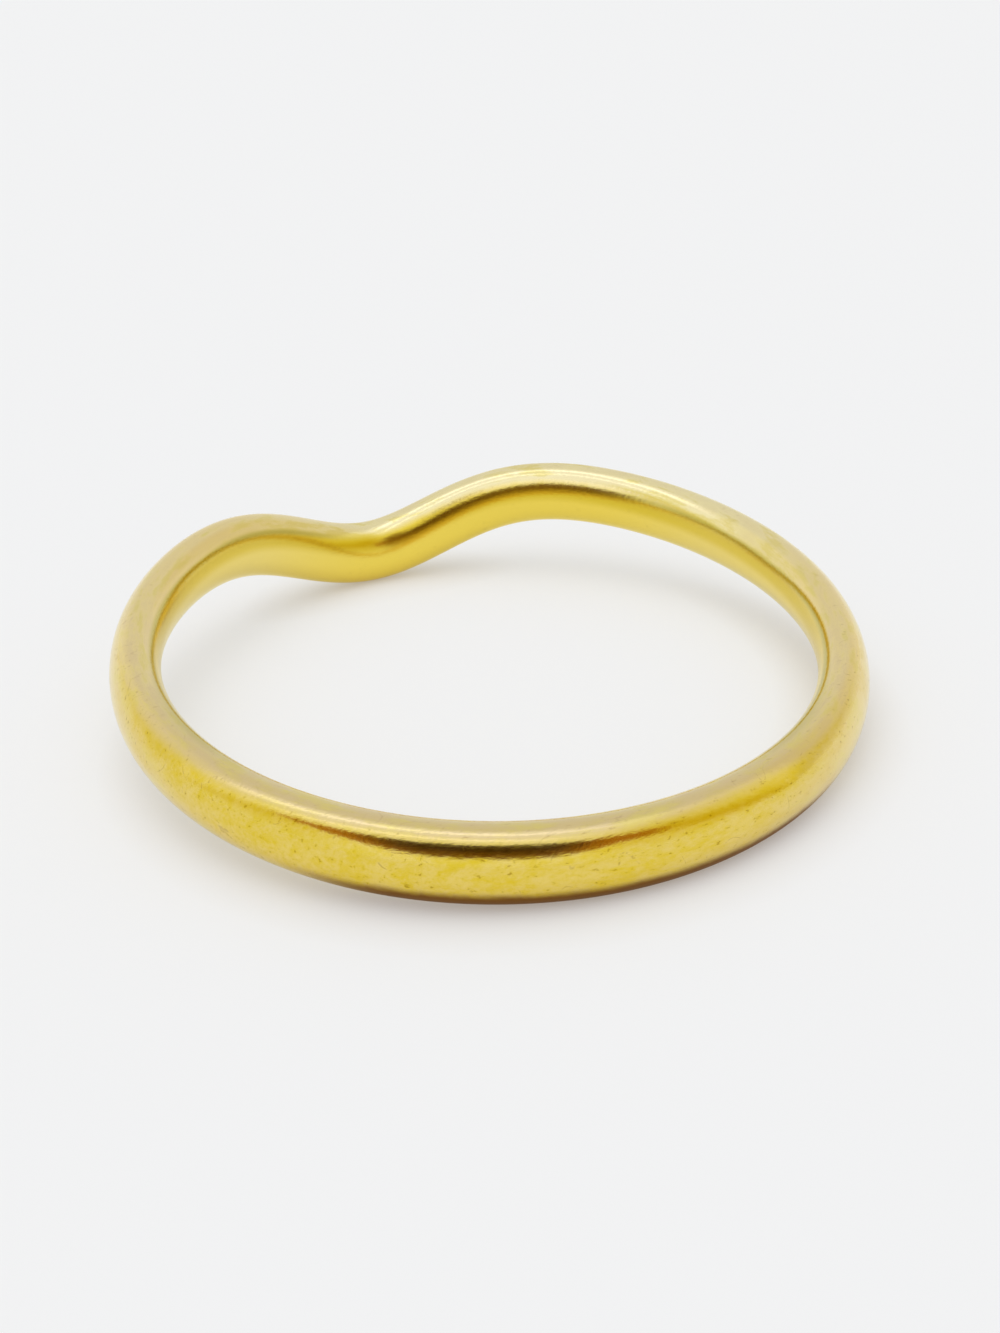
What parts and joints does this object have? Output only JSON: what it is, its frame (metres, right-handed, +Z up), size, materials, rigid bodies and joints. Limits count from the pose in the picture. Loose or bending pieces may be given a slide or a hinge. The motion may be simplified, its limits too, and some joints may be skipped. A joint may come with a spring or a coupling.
{
  "type": "curved wedding band",
  "caption": "Slim finger ring of oval section that dips in a soft curve on one side, to sit round the stone of another ring; it lies on its side.",
  "frame": {"origin": "on the surface that the band lies on, below the middle of its bounding box", "axes": "+Z up from that surface; the dip of the curve is at the +Y side and the middle of the shank at the -Y side; X = 0 is the plane of mirror symmetry. The plane of the shank is 5.7 degrees off level, higher towards +Y, because the band rests on the bottom of its dip and on the shank opposite"},
  "size_m": [0.02, 0.02, 0.0035],
  "materials": {
    "gold": "polished yellow gold, worn to a soft shine with fine scratches and small nicks"
  },
  "bodies": {
    "root": {"band": "gold"}
  },
  "joints": []
}
